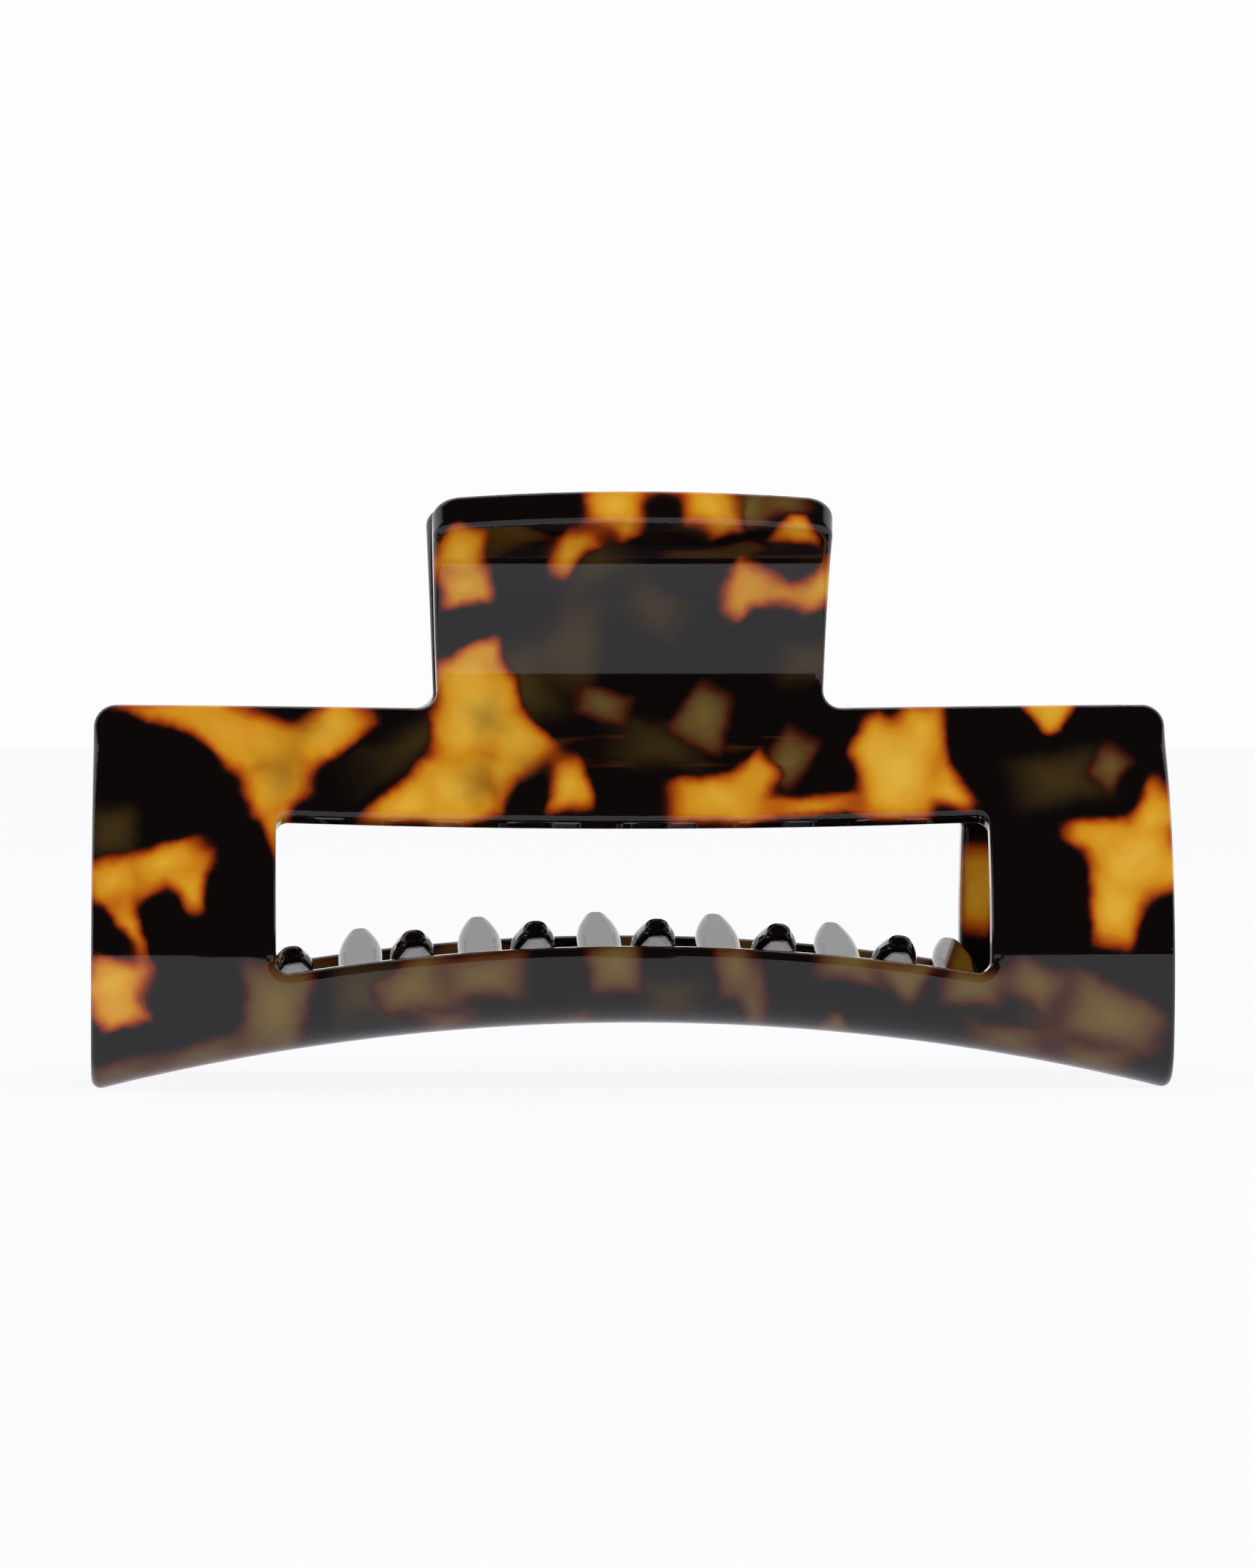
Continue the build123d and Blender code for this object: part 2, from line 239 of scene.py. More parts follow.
def panel(name, azimuth, elevation):
    """A wide soft light aimed at the clip, from an azimuth where 0 is the camera's side."""
    light = bpy.data.lights.new(name, "AREA")
    light.shape = "SQUARE"
    light.size = PANEL_SIZE
    light.energy = PANEL_WATTS
    a, e = math.radians(azimuth), math.radians(elevation)
    towards = Vector((math.sin(a) * math.cos(e), -math.cos(a) * math.cos(e), math.sin(e)))
    lamp = bpy.data.objects.new(name, light)
    lamp.location = centre + towards * PANEL_DISTANCE
    lamp.rotation_mode = "QUATERNION"
    lamp.rotation_quaternion = (-towards).to_track_quat("-Z", "Y")
    lamp.visible_glossy = False
    bpy.context.scene.collection.objects.link(lamp)
    return lamp


bpy.context.scene.world = make_room()
for name, azimuth, elevation in PANELS:
    panel(name, azimuth, elevation)

# %% [markdown]
# ## Tortoise acetate
#
# Cellulose acetate is cast in blocks from chips of several colours, then sliced into
# sheets. So the pattern goes right through the sheet: amber chips with burnt orange rims
# where the dyes have mixed, set in a brown that looks black. Chips that lie under the
# surface show as dull olive clouds.
#
# A noise threshold alone gives round, cloudy blobs. Here each chip is placed as a tapered
# four-sided piece, the way it fell into the mould, and noise then bends its sides. Each
# piece gives a field: the distance from its edge in millimetres, so the rim's width is a
# real one. Where pieces touch, a smooth minimum melts them together. The chips ignore the
# depth direction, because the pattern runs through the sheet.

# %% Where the chips lie
# Each chip is a four-sided piece: across and up from the middle of the foot line, half
# length, half height, turn anticlockwise and taper. Lengths are in mm and turns in degrees.
# A taper of 1 brings the far left of the chip to a point, and -1 its far right.
FRONT_CHIPS = [
    # handle
    (-1.9, 56.6, 2.6, 2.0, 4, 0.08), (-0.8, 54.3, 0.9, 0.9, 30, 0.0), (3.2, 58.5, 3.6, 0.8, 0, 0.0),
    (7.4, 56.6, 2.4, 2.0, -6, -0.1), (8.4, 54.5, 1.3, 0.8, 20, 0.0), (15.7, 54.2, 1.4, 1.4, 84, -0.5),
    (-16.6, 52.0, 2.3, 2.0, 70, -0.1), (-16.2, 48.6, 2.5, 1.9, 8, 0.0), (-6.1, 51.5, 1.8, 1.1, 55, 0.2),
    (-5.0, 52.6, 1.6, 0.8, 14, -0.2), (10.7, 47.8, 2.3, 1.3, 58, 0.3), (11.6, 49.0, 1.5, 1.2, -20, 0.0),
    (14.6, 48.2, 3.0, 0.8, -5, 0.0), (18.4, 48.6, 2.6, 1.4, 44, 0.25),
    # root of the handle
    (-15.9, 39.8, 2.9, 2.5, 14, 0.1), (-14.9, 36.8, 3.8, 3.6, 0, 0.0), (-11.4, 33.8, 3.0, 2.4, -58, 0.3),
    (-16.0, 34.2, 3.0, 2.4, 10, 0.0), (-14.0, 42.2, 1.5, 1.1, 60, -0.7),
    # top rail
    (-44.4, 36.4, 5.4, 1.0, -6, 0.5), (-39.4, 34.6, 4.4, 2.2, -30, 0.2), (-35.4, 33.2, 3.0, 2.2, -10, 0.0),
    (-29.4, 34.6, 4.2, 2.2, 36, 0.1), (-34.6, 29.4, 2.9, 2.2, 20, 0.0), (-34.2, 24.9, 3.2, 1.2, -76, -0.3),
    (-22.0, 27.6, 4.6, 2.0, 22, 0.6), (-16.8, 29.0, 3.3, 3.1, 12, 0.0), (-12.8, 30.8, 1.6, 1.5, 30, -0.5),
    (-6.2, 29.4, 2.4, 1.9, 93, -0.35), (8.2, 27.9, 4.6, 2.1, 3, 0.0), (12.0, 30.2, 2.0, 1.5, 44, 0.0),
    (17.4, 27.3, 4.8, 0.8, 4, 0.0), (26.0, 30.8, 4.8, 3.6, 84, 0.1), (28.4, 34.6, 3.0, 1.9, 82, 0.0),
    (24.0, 32.6, 2.4, 2.0, 40, 0.3), (31.0, 28.9, 2.6, 1.6, -36, -0.6), (41.0, 36.4, 2.1, 2.1, -84, -0.7),
    # right side
    (50.4, 26.0, 3.4, 1.8, 48, 0.3), (45.0, 24.0, 3.4, 1.6, -16, 0.5), (48.6, 22.2, 3.8, 3.1, 6, -0.1),
    (46.8, 17.4, 3.6, 2.4, 82, 0.15), (52.2, 21.2, 1.5, 1.7, 0, 0.0),
    # left side
    (-45.2, 21.7, 3.7, 1.7, 24, -0.15), (-43.0, 19.4, 2.4, 1.4, -78, -0.6), (-50.4, 20.3, 2.4, 1.7, 12, 0.0),
    (-48.8, 16.0, 3.4, 0.9, -68, -0.5), (-50.4, 10.2, 2.8, 2.3, -20, 0.1), (-50.0, 8.0, 2.0, 2.0, 30, 0.2),
]

# Chips just under the surface are darker and greener, with a red rim in places.
FRONT_OLIVES = [
    (10.9, 56.4, 2.0, 1.8, 0, 0.0), (14.6, 56.6, 2.2, 1.0, 8, 0.0), (-2.8, 37.1, 2.3, 1.4, -14, 0.0),
    (7.2, 36.0, 2.8, 2.2, 64, -0.2), (15.4, 32.0, 2.4, 1.6, 56, 0.0), (-50.0, 1.5, 2.6, 0.9, 12, 0.0),
    (-34.6, 7.8, 4.2, 3.0, 84, 0.15), (-41.6, 3.2, 4.0, 1.0, 14, 0.3), (-14.4, 10.8, 3.6, 2.0, 4, 0.1),
    (-21.6, 10.0, 3.4, 2.2, 16, 0.3), (-18.0, 6.4, 1.9, 0.8, 10, -0.5), (-1.9, 11.6, 2.4, 2.3, 5, 0.1),
    (9.8, 11.8, 2.3, 1.7, -80, 0.1), (11.6, 8.2, 2.4, 1.0, -72, -0.3), (20.6, 12.2, 2.9, 1.7, -4, 0.2),
    (26.4, 10.6, 2.1, 1.9, -88, -0.7), (32.8, 10.0, 2.5, 1.8, -12, -0.2), (38.6, 10.2, 2.4, 1.7, -30, 0.2),
    (46.4, 6.9, 4.8, 2.6, -22, -0.2), (36.0, 4.8, 3.1, 1.1, -12, 0.1), (44.8, 2.7, 3.2, 1.2, -10, 0.0),
    (-6.5, 6.3, 1.7, 0.8, 8, 0.0), (19.2, 6.3, 1.2, 1.2, 90, -0.6), (46.6, 31.0, 1.8, 1.4, 50, 0.0),
]

# Chips further down show as blurred clouds.
FRONT_CLOUDS = [
    (2.4, 46.5, 2.2, 1.5, -30, 0.0), (-5.8, 43.2, 3.6, 2.2, 66, -0.4), (-10.6, 39.2, 2.2, 3.0, 20, 0.0),
    (-3.8, 50.6, 2.4, 1.4, 30, 0.0), (17.2, 41.3, 1.8, 1.3, 0, 0.0), (2.6, 33.2, 3.0, 1.4, -10, 0.0),
    (41.6, 30.0, 3.2, 1.8, 10, 0.0), (-50.6, 25.0, 1.8, 1.8, 0, 0.0), (-20.4, 34.0, 4.0, 1.0, 30, 0.0),
    (-25.6, 9.2, 2.6, 2.4, 0, 0.0), (3.6, 8.8, 2.0, 1.4, 0, 0.0), (41.0, 7.0, 3.0, 2.0, 0, 0.0),
]

# Dark breath in the amber.
FRONT_SMUDGES = [
    (-14.0, 35.8, 1.5, 1.7, 20, 0.0), (-33.9, 30.6, 1.6, 2.2, 20, 0.0), (-31.6, 34.6, 1.4, 0.9, 30, 0.0),
    (-14.6, 29.4, 1.8, 1.9, 30, 0.0), (-9.6, 30.6, 1.6, 1.4, 0, 0.0), (10.2, 56.6, 0.9, 1.6, 0, 0.0),
]

# The rear jaw is cut from another part of the sheet.
REAR_SHIFT = 3.0
REAR_BAR_CHIP = (36.4, 18.6, 4.4, 2.2, 84, 0.2)
REAR_BAR_CLEAR = (33.0, 43.0)
REAR_BAR_TOP = 27.0


def moved_chips(chips):
    """The same kinds of chips somewhere else on the sheet, with some room kept on the right bar."""
    moved = [(across + REAR_SHIFT, up, *rest) for across, up, *rest in chips]
    low, high = REAR_BAR_CLEAR
    return [chip for chip in moved if not (low < chip[0] < high and chip[1] < REAR_BAR_TOP)]


REAR_CHIPS = moved_chips(FRONT_CHIPS) + [REAR_BAR_CHIP]
REAR_OLIVES = moved_chips(FRONT_OLIVES)
REAR_CLOUDS = moved_chips(FRONT_CLOUDS)
REAR_SMUDGES = moved_chips(FRONT_SMUDGES)
print("front chips:", len(FRONT_CHIPS), "under the surface:", len(FRONT_OLIVES) + len(FRONT_CLOUDS))

# %% [markdown]
# The fields below are built from the same few nodes. Two dot products tell how far along and
# how far across a chip a point lies, as parts of its half length and half height. The larger
# of the two, with its corner rounded, is 1 on the chip's edge, and is then brought to mm.
# Points are taken in millimetres on the piece itself, and a field then says where one
# colour is laid over another, with an edge as soft as the dyes left it.

# %% Chip fields
CORNER = 0.6
MELT = 2.4


def out_of_chip(tree, point, chip):
    """About how far outside one chip a point is, in mm; it is negative inside."""
    across, up, half_length, half_height, turn, taper = chip
    c, s = math.cos(math.radians(turn)), math.sin(math.radians(turn))
    parts = []
    for right, rise, half in ((c, s, half_length), (-s, c, half_height)):
        part = add(tree, "ShaderNodeVectorMath", {0: point, 1: (right / half, 0, rise / half)},
                   operation="DOT_PRODUCT").outputs["Value"]
        middle = (across * right + up * rise) / half
        parts.append(add(tree, "ShaderNodeMath", {0: part, 1: -middle}).outputs[0])
    ends = add(tree, "ShaderNodeMath", {0: parts[0]}, operation="ABSOLUTE").outputs[0]
    sides = add(tree, "ShaderNodeMath", {0: parts[1]}, operation="ABSOLUTE").outputs[0]
    if taper:
        sides = add(tree, "ShaderNodeMath", {0: parts[0], 1: -taper, 2: sides},
                    operation="MULTIPLY_ADD").outputs[0]
    worst = add(tree, "ShaderNodeMath", {0: ends, 1: sides, 2: CORNER}, operation="SMOOTH_MAX").outputs[0]
    small = min(half_length, half_height)
    return add(tree, "ShaderNodeMath", {0: worst, 1: small, 2: -small}, operation="MULTIPLY_ADD").outputs[0]


def nearest(tree, point, chips):
    """The field of all the chips together, run into each other a little where they meet."""
    field = out_of_chip(tree, point, chips[0])
    for chip in chips[1:]:
        field = add(tree, "ShaderNodeMath", {0: field, 1: out_of_chip(tree, point, chip), 2: MELT},
                    operation="SMOOTH_MIN").outputs[0]
    return field


def shifted(tree, point, size, amount, seed):
    """The point pushed about by noise whose lumps are size mm wide, by up to amount mm."""
    noise = add(tree, "ShaderNodeTexNoise", {
        "Vector": point, "W": seed, "Scale": 1 / size, "Detail": 2.0, "Roughness": 0.5,
    }, noise_dimensions="4D")
    push = add(tree, "ShaderNodeVectorMath", {0: noise.outputs["Color"], 1: (0.5, 0.5, 0.5)},
               operation="SUBTRACT")
    return add(tree, "ShaderNodeVectorMath", {
        0: push.outputs["Vector"], 1: (2 * amount,) * 3, 2: point,
    }, operation="MULTIPLY_ADD").outputs["Vector"]


def place_in_mm(tree):
    """Where on the piece a point lies, in millimetres."""
    metres = add(tree, "ShaderNodeTexCoord").outputs["Object"]
    return add(tree, "ShaderNodeVectorMath", {0: metres, "Scale": 1 / MM},
               operation="SCALE").outputs["Vector"]


def laid_over(tree, under, over, field, edge, most=1.0):
    """A colour over another: as much as most inside the field's edge, and none outside it."""
    inside, outside = edge
    share = add(tree, "ShaderNodeMapRange", {
        "Value": field, "From Min": inside, "From Max": outside, "To Min": most, "To Max": 0.0,
    }, interpolation_type="SMOOTHSTEP").outputs["Result"]
    mix = add(tree, "ShaderNodeMix", {"Factor": share, 6: under, 7: over}, data_type="RGBA")
    return mix.outputs[2]


print("chips rounded by", CORNER, "of their half size, and melted together over", MELT, "mm")

# %% [markdown]
# The surface was tumbled in barrels of wood chips and wax and buffed, so it is as smooth as
# glass, with a slight waviness from the bending. The waviness is a few thousandths of a
# millimetre deep. It isn't seen by itself, but it makes the edges of what the clip mirrors
# tremble, and without it the acetate looks like a computer's glass.

# %% Tortoise material
ACETATE_IOR = 1.48
POLISH = 0.035
WAVE_SIZE = 3.2
WAVE_DEPTH = 0.0045 * MM
THROUGH = (1.0, 0.3, 1.0)  # the bends change more slowly through the sheet than along it
BENT_SIDES = (4.5, 0.9)
ROUGH_SIDES = (1.3, 0.2)
DEEP_BENDS = (4.0, 1.2)
TONE_SIZE = 6.0
TOOTH_TOP = 22.0
TOOTH_REACH = 15.2
NEAR_BLACK = "#0d0808"
HONEY = "#c8841a"
SMUDGE_BROWN = "#5a3914"
CLOUD_OLIVE = "#57431f"
AMBER_STOPS = [
    (-2.8, "#dcae3e"), (-1.5, "#d8a230"), (-0.8, "#cb8a1c"), (-0.35, "#b35c10"),
    (-0.05, "#86300a"), (0.2, "#40150a"), (0.5, NEAR_BLACK),
]
AMBER_EDGE = (0.05, 0.55)
CORE_EDGE = (-1.2, -0.5)
TONE_RANGE = (0.35, 0.62)
HONEY_MOST = 0.55
OLIVE_EDGE = (0.0, 0.7)
CLOUD_EDGE = (-1.8, 1.5)
CLOUD_MOST = 0.45
SMUDGE_EDGE = (-2.0, 1.4)
SMUDGE_MOST = 0.55
OLIVE_STOPS = [
    (-2.2, "#6c5a2c"), (-1.0, "#5e4a25"), (-0.35, "#52321a"), (0.05, "#3c180d"), (0.7, NEAR_BLACK),
]


def coloured(tree, field, stops):
    """A colour from how deep inside a chip a point is, by stops in mm."""
    low, high = stops[0][0], stops[-1][0]
    along = add(tree, "ShaderNodeMapRange", {"Value": field, "From Min": low, "From Max": high})
    ramp = add(tree, "ShaderNodeValToRGB", {"Fac": along.outputs["Result"]})
    elements = ramp.color_ramp.elements
    for _ in stops[2:]:
        elements.new(1.0)
    for element, (mm, colour) in zip(elements, stops):
        element.position = (mm - low) / (high - low)
        element.color = linear(colour)
    return ramp.outputs["Color"]


def tortoise(name, outwards, chips, olives, clouds, smudges, seed):
    """Tumbled tortoise acetate, from lists of its chips. outwards is the side the jaw bulges to in Y."""
    material, tree = new_material(name)
    point = place_in_mm(tree)
    through = add(tree, "ShaderNodeVectorMath", {0: point, 1: THROUGH},
                  operation="MULTIPLY").outputs["Vector"]
    bent = shifted(tree, through, *BENT_SIDES, seed)
    wavy = shifted(tree, bent, *ROUGH_SIDES, seed + 1.0)

    field = nearest(tree, wavy, chips)
    axes = add(tree, "ShaderNodeSeparateXYZ", {0: point})
    in_reach = add(tree, "ShaderNodeMath", {0: axes.outputs["Y"], 1: -outwards, 2: TOOTH_REACH},
                   operation="MULTIPLY_ADD").outputs["Value"]
    below_top = add(tree, "ShaderNodeMath", {0: TOOTH_TOP, 1: axes.outputs["Z"]},
                    operation="SUBTRACT").outputs["Value"]
    teeth = add(tree, "ShaderNodeMath", {0: in_reach, 1: below_top}, operation="MINIMUM").outputs["Value"]
    field = add(tree, "ShaderNodeMath", {0: field, 1: teeth}, operation="MAXIMUM").outputs["Value"]

    amber = coloured(tree, field, AMBER_STOPS)

    under = add(tree, "ShaderNodeMath", {0: nearest(tree, wavy, olives), 1: teeth},
                operation="MAXIMUM").outputs["Value"]
    olive = coloured(tree, under, OLIVE_STOPS)
    deep = shifted(tree, through, *DEEP_BENDS, seed + 3.0)
    cloud = nearest(tree, deep, clouds)
    smudge = nearest(tree, deep, smudges)
    tone = add(tree, "ShaderNodeTexNoise", {
        "Vector": wavy, "W": seed + 7.0, "Scale": 1 / TONE_SIZE, "Detail": 3.0,
    }, noise_dimensions="4D").outputs["Fac"]
    honey = laid_over(tree, amber, linear(HONEY), tone, TONE_RANGE)
    amber = laid_over(tree, amber, honey, field, CORE_EDGE, HONEY_MOST)
    amber = laid_over(tree, amber, linear(SMUDGE_BROWN), smudge, SMUDGE_EDGE, SMUDGE_MOST)

    ground = laid_over(tree, linear(NEAR_BLACK), linear(CLOUD_OLIVE), cloud, CLOUD_EDGE, CLOUD_MOST)
    ground = laid_over(tree, ground, olive, under, OLIVE_EDGE)
    colour = laid_over(tree, ground, amber, field, AMBER_EDGE)

    waves = add(tree, "ShaderNodeTexNoise", {
        "Vector": point, "Scale": 1 / WAVE_SIZE, "Detail": 2.0, "Roughness": 0.55,
    })
    bump = add(tree, "ShaderNodeBump", {
        "Height": waves.outputs["Fac"], "Strength": 1.0, "Distance": WAVE_DEPTH,
    })
    shade = add(tree, "ShaderNodeBsdfPrincipled", {
        "Base Color": colour, "Roughness": POLISH, "IOR": ACETATE_IOR, "Normal": bump.outputs["Normal"],
    })
    add(tree, "ShaderNodeOutputMaterial", {"Surface": shade.outputs["BSDF"]})
    print(name, "has", len(tree.nodes), "nodes")
    return material


def wears(node, material):
    """Gives a CAD node's object its real finish."""
    materials = frame["nodes"][node].data.materials
    materials.clear()
    materials.append(material)


wears("front_jaw", tortoise(
    "tortoise_acetate_tumbled_front", -1, FRONT_CHIPS, FRONT_OLIVES, FRONT_CLOUDS, FRONT_SMUDGES, 2.0))
wears("rear_jaw", tortoise(
    "tortoise_acetate_tumbled_rear", 1, REAR_CHIPS, REAR_OLIVES, REAR_CLOUDS, REAR_SMUDGES, 11.0))

# %% [markdown]
# ## Knuckles
#
# The knuckles are cut from plain dark acetate rod and bonded to the handles with solvent.
# They are tumbled but not buffed by hand, so they are a little duller than the jaws, with
# fine lines from the saw on their faces. Both those lines and the turning rings of the pin
# are drawn about six times as far apart as real ones, so that they can show.

# %% Dark acetate
WAVE_RADIANS = 20  # what a wave texture turns through in one unit at scale 1
SAW_PITCH = 2.2
SAW_DEPTH = 0.004 * MM
SAWN_ROUGH = (0.10, 0.22)
LUMP_SIZE = 2.5
LUMP_EDGE = (0.35, 0.65)
THIN_BROWN = "#1d100a"


def dark_acetate():
    """Sawn and tumbled acetate: nearly black, brown where it thins, faint saw lines."""
    material, tree = new_material("dark_acetate_sawn_and_tumbled")
    point = place_in_mm(tree)
    lumps = add(tree, "ShaderNodeTexNoise", {
        "Vector": point, "Scale": 1 / LUMP_SIZE, "Detail": 3.0,
    }).outputs["Fac"]
    colour = laid_over(tree, linear(THIN_BROWN), linear(NEAR_BLACK), lumps, LUMP_EDGE)
    lines = add(tree, "ShaderNodeTexWave", {
        "Vector": point, "Scale": math.tau / (WAVE_RADIANS * SAW_PITCH), "Distortion": 1.5, "Detail": 2.0,
    }, bands_direction="Z").outputs["Fac"]
    dull = add(tree, "ShaderNodeMapRange", {
        "Value": lumps, "To Min": SAWN_ROUGH[0], "To Max": SAWN_ROUGH[1],
    }).outputs["Result"]
    bump = add(tree, "ShaderNodeBump", {"Height": lines, "Strength": 0.6, "Distance": SAW_DEPTH})
    shade = add(tree, "ShaderNodeBsdfPrincipled", {
        "Base Color": colour, "Roughness": dull, "IOR": ACETATE_IOR, "Normal": bump.outputs["Normal"],
    })
    add(tree, "ShaderNodeOutputMaterial", {"Surface": shade.outputs["BSDF"]})
    return material


knuckle_finish = dark_acetate()
knuckles = [name for name in frame["nodes"] if "_lug_" in name]
for name in knuckles:
    wears(name, knuckle_finish)
print("knuckles:", knuckles)

# %% [markdown]
# ## Pin and washers
#
# The pin is turned steel with nickel plate, and its ends are rolled over the washers. Plate
# keeps the fine marks of turning, which run round the pin, so the shine is spread across
# them. A wave that runs along the pin gives the rings.

# %% Nickel-plated steel
TURNING_PITCH = 0.754
TURNING_DEPTH = 0.003 * MM
PLATE_ROUGH = (0.12, 0.30)
STAIN_SIZE = 1.5
STAIN_EDGE = (0.4, 0.6)
NICKEL_BRIGHT = "#d2cec4"
NICKEL_STAINED = "#b8b1a4"
hinge_axis = frame["joints"][0]
print("hinge:", hinge_axis["name"], hinge_axis["range_deg"])


def nickel_plate():
    """Turned steel, nickel plated: warm grey metal with fine turning rings."""
    material, tree = new_material("nickel_plated_steel_turned")
    point = place_in_mm(tree)
    rings = add(tree, "ShaderNodeTexWave", {
        "Vector": point, "Scale": math.tau / (WAVE_RADIANS * TURNING_PITCH), "Distortion": 0.6,
        "Detail": 1.0,
    }, bands_direction="X").outputs["Fac"]
    stain = add(tree, "ShaderNodeTexNoise", {
        "Vector": point, "Scale": 1 / STAIN_SIZE, "Detail": 4.0,
    }).outputs["Fac"]
    colour = laid_over(tree, linear(NICKEL_BRIGHT), linear(NICKEL_STAINED), stain, STAIN_EDGE)
    rough = add(tree, "ShaderNodeMapRange", {
        "Value": stain, "To Min": PLATE_ROUGH[0], "To Max": PLATE_ROUGH[1],
    }).outputs["Result"]
    bump = add(tree, "ShaderNodeBump", {"Height": rings, "Strength": 0.5, "Distance": TURNING_DEPTH})
    shade = add(tree, "ShaderNodeBsdfPrincipled", {
        "Base Color": colour, "Metallic": 1.0, "Roughness": rough, "Normal": bump.outputs["Normal"],
    })
    add(tree, "ShaderNodeOutputMaterial", {"Surface": shade.outputs["BSDF"]})
    return material


pin_finish = nickel_plate()
for name in ("hinge_pin", "washer_left", "washer_right"):
    wears(name, pin_finish)

# %% [markdown]
# ## Torsion spring
#
# The spring is one length of hard-drawn wire wound round the pin, with a straight leg that
# presses on each handle. The way of the wire is a formula: seven and a bit turns of a
# helix, and at each end a straight run along the wire's own direction. A loop lays it out,
# and a Geometry Nodes tree draws the round wire along it, so the thickness is one input.

# %% Way of the wire
WIRE = 1.2 * MM
COIL_MEAN = 7.2 * MM
WHOLE_TURNS = 7
COIL_PITCH = 1.3 * MM
POINTS_A_TURN = 40
LEG_POINTS = 10
LEAN_STEPS = 6
hinge_height = sum(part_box("hinge_pin"), Vector()).z / 2
spring_low, spring_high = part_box("torsion_spring")


def leg_tip():
    """Height above the hinge and reach of a leg's tip, from the box round the wire's end."""
    corner_y, corner_z = spring_high.y, spring_high.z - hinge_height
    lean = math.atan2(corner_z, corner_y)
    for _ in range(LEAN_STEPS):
        y = corner_y - WIRE / 2 * math.sin(lean)
        z = corner_z - WIRE / 2 * math.cos(lean)
        away = math.hypot(y, z)
        lean = math.atan2(z, y) + math.asin(COIL_MEAN / 2 / away)
    return y, z


def wire_way():
    """Points along the spring's wire, from the front leg's tip to the rear leg's tip."""
    radius = COIL_MEAN / 2
    reach, rise = leg_tip()
    away = math.hypot(reach, rise)
    first = math.atan2(rise, -reach) + math.acos(radius / away)
    turns = WHOLE_TURNS + (3 * math.pi - 2 * first) / (2 * math.pi)
    half = turns * COIL_PITCH / 2
    steps = round(turns * POINTS_A_TURN)
    coil = []
    for i in range(steps + 1):
        angle = first + 2 * math.pi * turns * i / steps
        coil.append(Vector((
            -half + 2 * half * i / steps,
            radius * math.cos(angle),
            hinge_height + radius * math.sin(angle),
        )))
    length = math.sqrt(away**2 - radius**2)
    slope = COIL_PITCH / (2 * math.pi)
    ahead = Vector((slope, -radius * math.sin(first), radius * math.cos(first))).normalized()
    after = Vector((ahead.x, ahead.y, -ahead.z))
    front_leg = [coil[0] - ahead * length * i / LEG_POINTS for i in range(LEG_POINTS, 0, -1)]
    rear_leg = [coil[-1] + after * length * i / LEG_POINTS for i in range(1, LEG_POINTS + 1)]
    return front_leg + coil + rear_leg, half


way, coil_half = wire_way()
print("wire length in mm:", round(sum((b - a).length for a, b in zip(way, way[1:])) / MM, 1))

# %% [markdown]
# A circle swept along the way makes the wire. Its ends are capped, as cut wire is, and the
# tree has the wire's radius and the circle's sides as inputs, so another gauge of wire or a
# finer tube is one number.

# %% Wire tree
WIRE_SIDES = 20


def wire_tree(material):
    """Geometry Nodes: a closed round wire along a curve."""
    tree = bpy.data.node_groups.new("round_wire", "GeometryNodeTree")
    tree.interface.new_socket("Way", in_out="INPUT", socket_type="NodeSocketGeometry")
    for title, value in (("Wire Radius", WIRE / 2), ("Sides", WIRE_SIDES)):
        kind = "NodeSocketInt" if title == "Sides" else "NodeSocketFloat"
        socket = tree.interface.new_socket(title, in_out="INPUT", socket_type=kind)
        socket.default_value = value
    tree.interface.new_socket("Wire", in_out="OUTPUT", socket_type="NodeSocketGeometry")
    start = add(tree, "NodeGroupInput")
    section = add(tree, "GeometryNodeCurvePrimitiveCircle", {
        "Resolution": start.outputs["Sides"], "Radius": start.outputs["Wire Radius"],
    })
    tube = add(tree, "GeometryNodeCurveToMesh", {
        "Curve": start.outputs["Way"], "Profile Curve": section.outputs["Curve"], "Fill Caps": True,
    })
    smooth = add(tree, "GeometryNodeSetShadeSmooth", {"Geometry": tube.outputs["Mesh"]})
    real = add(tree, "GeometryNodeRealizeInstances", {"Geometry": smooth.outputs["Geometry"]})
    dressed = add(tree, "GeometryNodeSetMaterial", {
        "Geometry": real.outputs["Geometry"], "Material": material,
    })
    add(tree, "NodeGroupOutput", {0: dressed.outputs["Geometry"]})
    return tree


def set_input(modifier, title, value):
    """Sets a tree's input by the identifier of the socket with that title."""
    for item in modifier.node_group.interface.items_tree:
        if item.item_type == "SOCKET" and item.in_out == "INPUT" and item.name == title:
            modifier[item.identifier] = value


print("wire of", round(WIRE / MM, 2), "mm with", WIRE_SIDES, "sides")

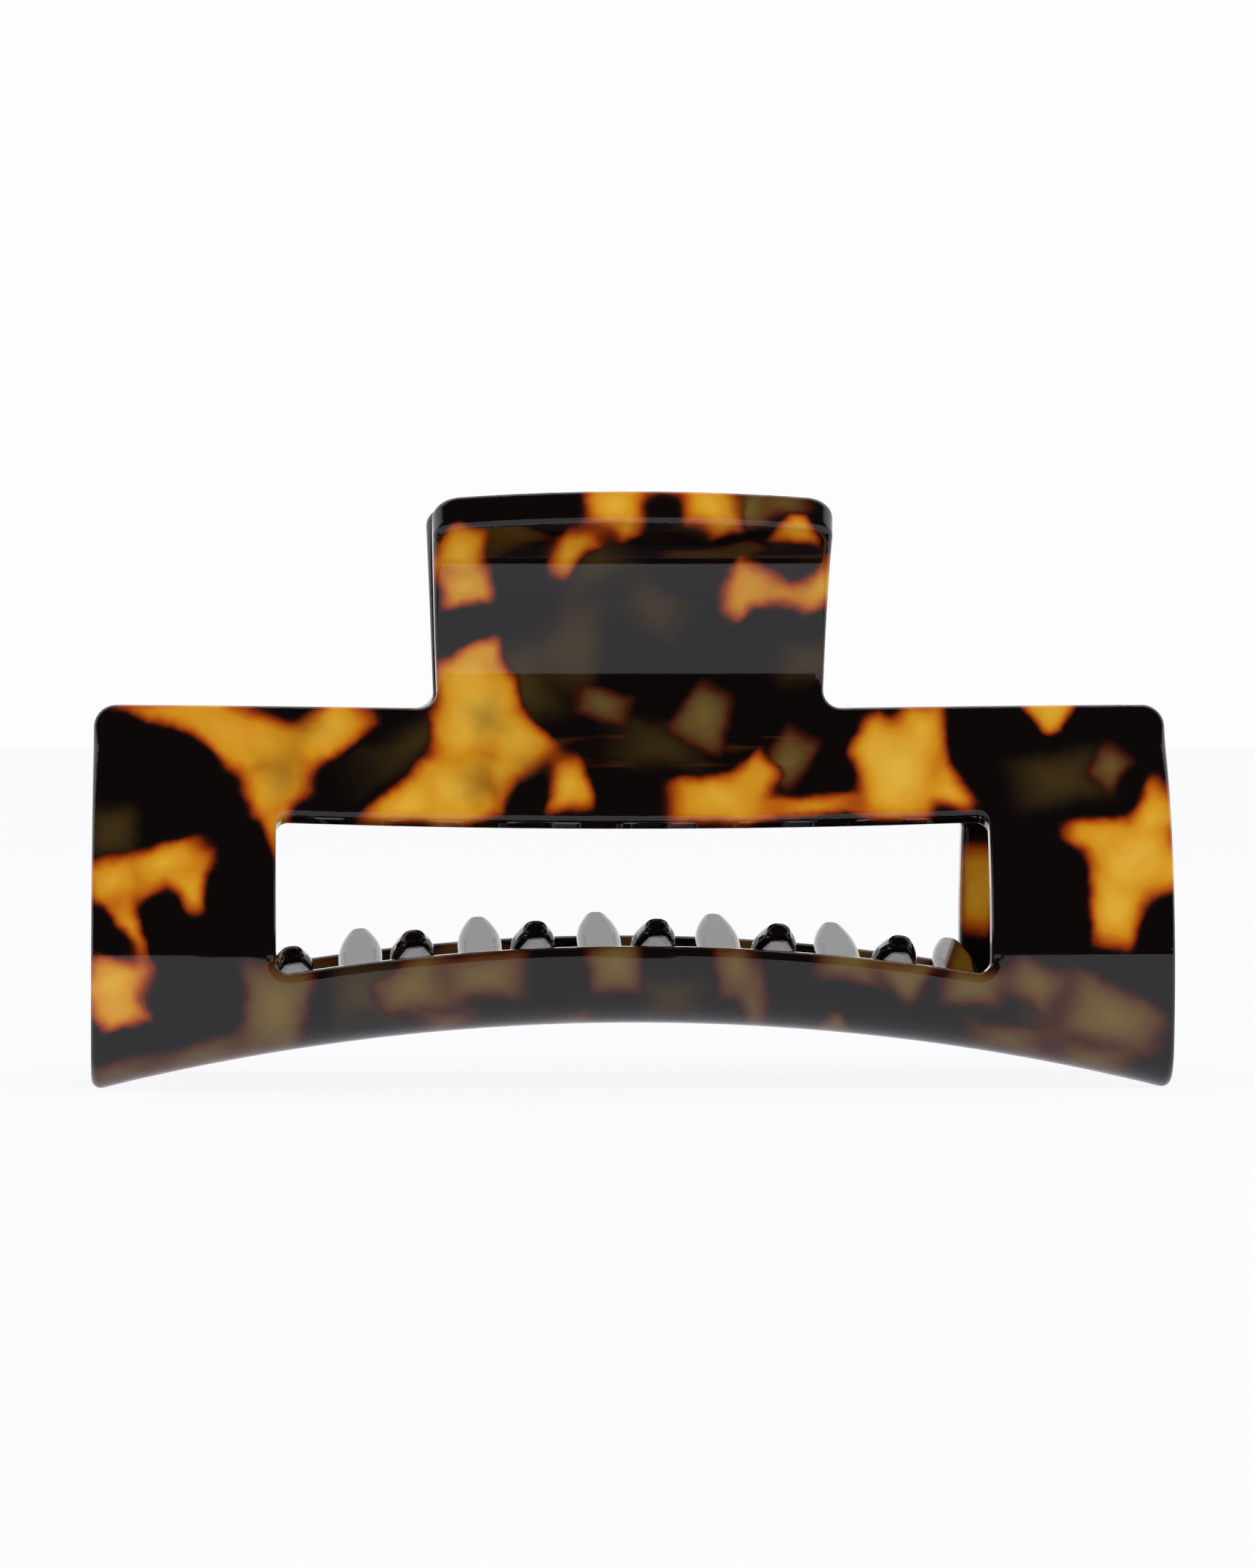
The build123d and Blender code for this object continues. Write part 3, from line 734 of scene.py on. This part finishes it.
# %% [markdown]
# Hard-drawn wire is pulled through a die, which leaves it bright with faint lines along its
# length. At this size the lines are far too fine to see, so the finish is a clear metal with
# a slightly uneven gloss, drawn coarse enough to show.

# %% Drawn wire finish and the spring
WIRE_ROUGH = (0.16, 0.34)
GLOSS_SIZE = 0.6
GLOSS_EDGE = (0.35, 0.65)
WIRE_BRIGHT = "#c3c4c6"
WIRE_GREY = "#9fa0a2"


def drawn_wire():
    """Hard-drawn spring steel with thin plate: cool grey, bright, slightly uneven."""
    material, tree = new_material("spring_steel_hard_drawn")
    point = place_in_mm(tree)
    uneven = add(tree, "ShaderNodeTexNoise", {
        "Vector": point, "Scale": 1 / GLOSS_SIZE, "Detail": 3.0,
    }).outputs["Fac"]
    colour = laid_over(tree, linear(WIRE_BRIGHT), linear(WIRE_GREY), uneven, GLOSS_EDGE)
    rough = add(tree, "ShaderNodeMapRange", {
        "Value": uneven, "To Min": WIRE_ROUGH[0], "To Max": WIRE_ROUGH[1],
    }).outputs["Result"]
    shade = add(tree, "ShaderNodeBsdfPrincipled", {
        "Base Color": colour, "Metallic": 1.0, "Roughness": rough,
    })
    add(tree, "ShaderNodeOutputMaterial", {"Surface": shade.outputs["BSDF"]})
    return material


def wind_spring():
    """The spring as one smooth wire, made into a fixed mesh."""
    path = bpy.data.curves.new("spring_way", "CURVE")
    path.dimensions = "3D"
    line = path.splines.new("POLY")
    line.points.add(len(way) - 1)
    for spot, place in zip(line.points, way):
        spot.co = (*place, 1.0)
    holder = bpy.data.objects.new("spring_way", path)
    bpy.context.scene.collection.objects.link(holder)
    modifier = holder.modifiers.new("round_wire", "NODES")
    modifier.node_group = wire_tree(drawn_wire())
    set_input(modifier, "Wire Radius", WIRE / 2)
    seen = holder.evaluated_get(bpy.context.evaluated_depsgraph_get())
    mesh = bpy.data.meshes.new_from_object(seen)
    bpy.data.objects.remove(holder)
    mesh.name = "spring_wire"
    wire = bpy.data.objects.new("spring_wire", mesh)
    bpy.context.scene.collection.objects.link(wire)
    return wire


spring = wind_spring()
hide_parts("torsion_spring")
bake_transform(spring)
print("spring faces:", len(spring.data.polygons))
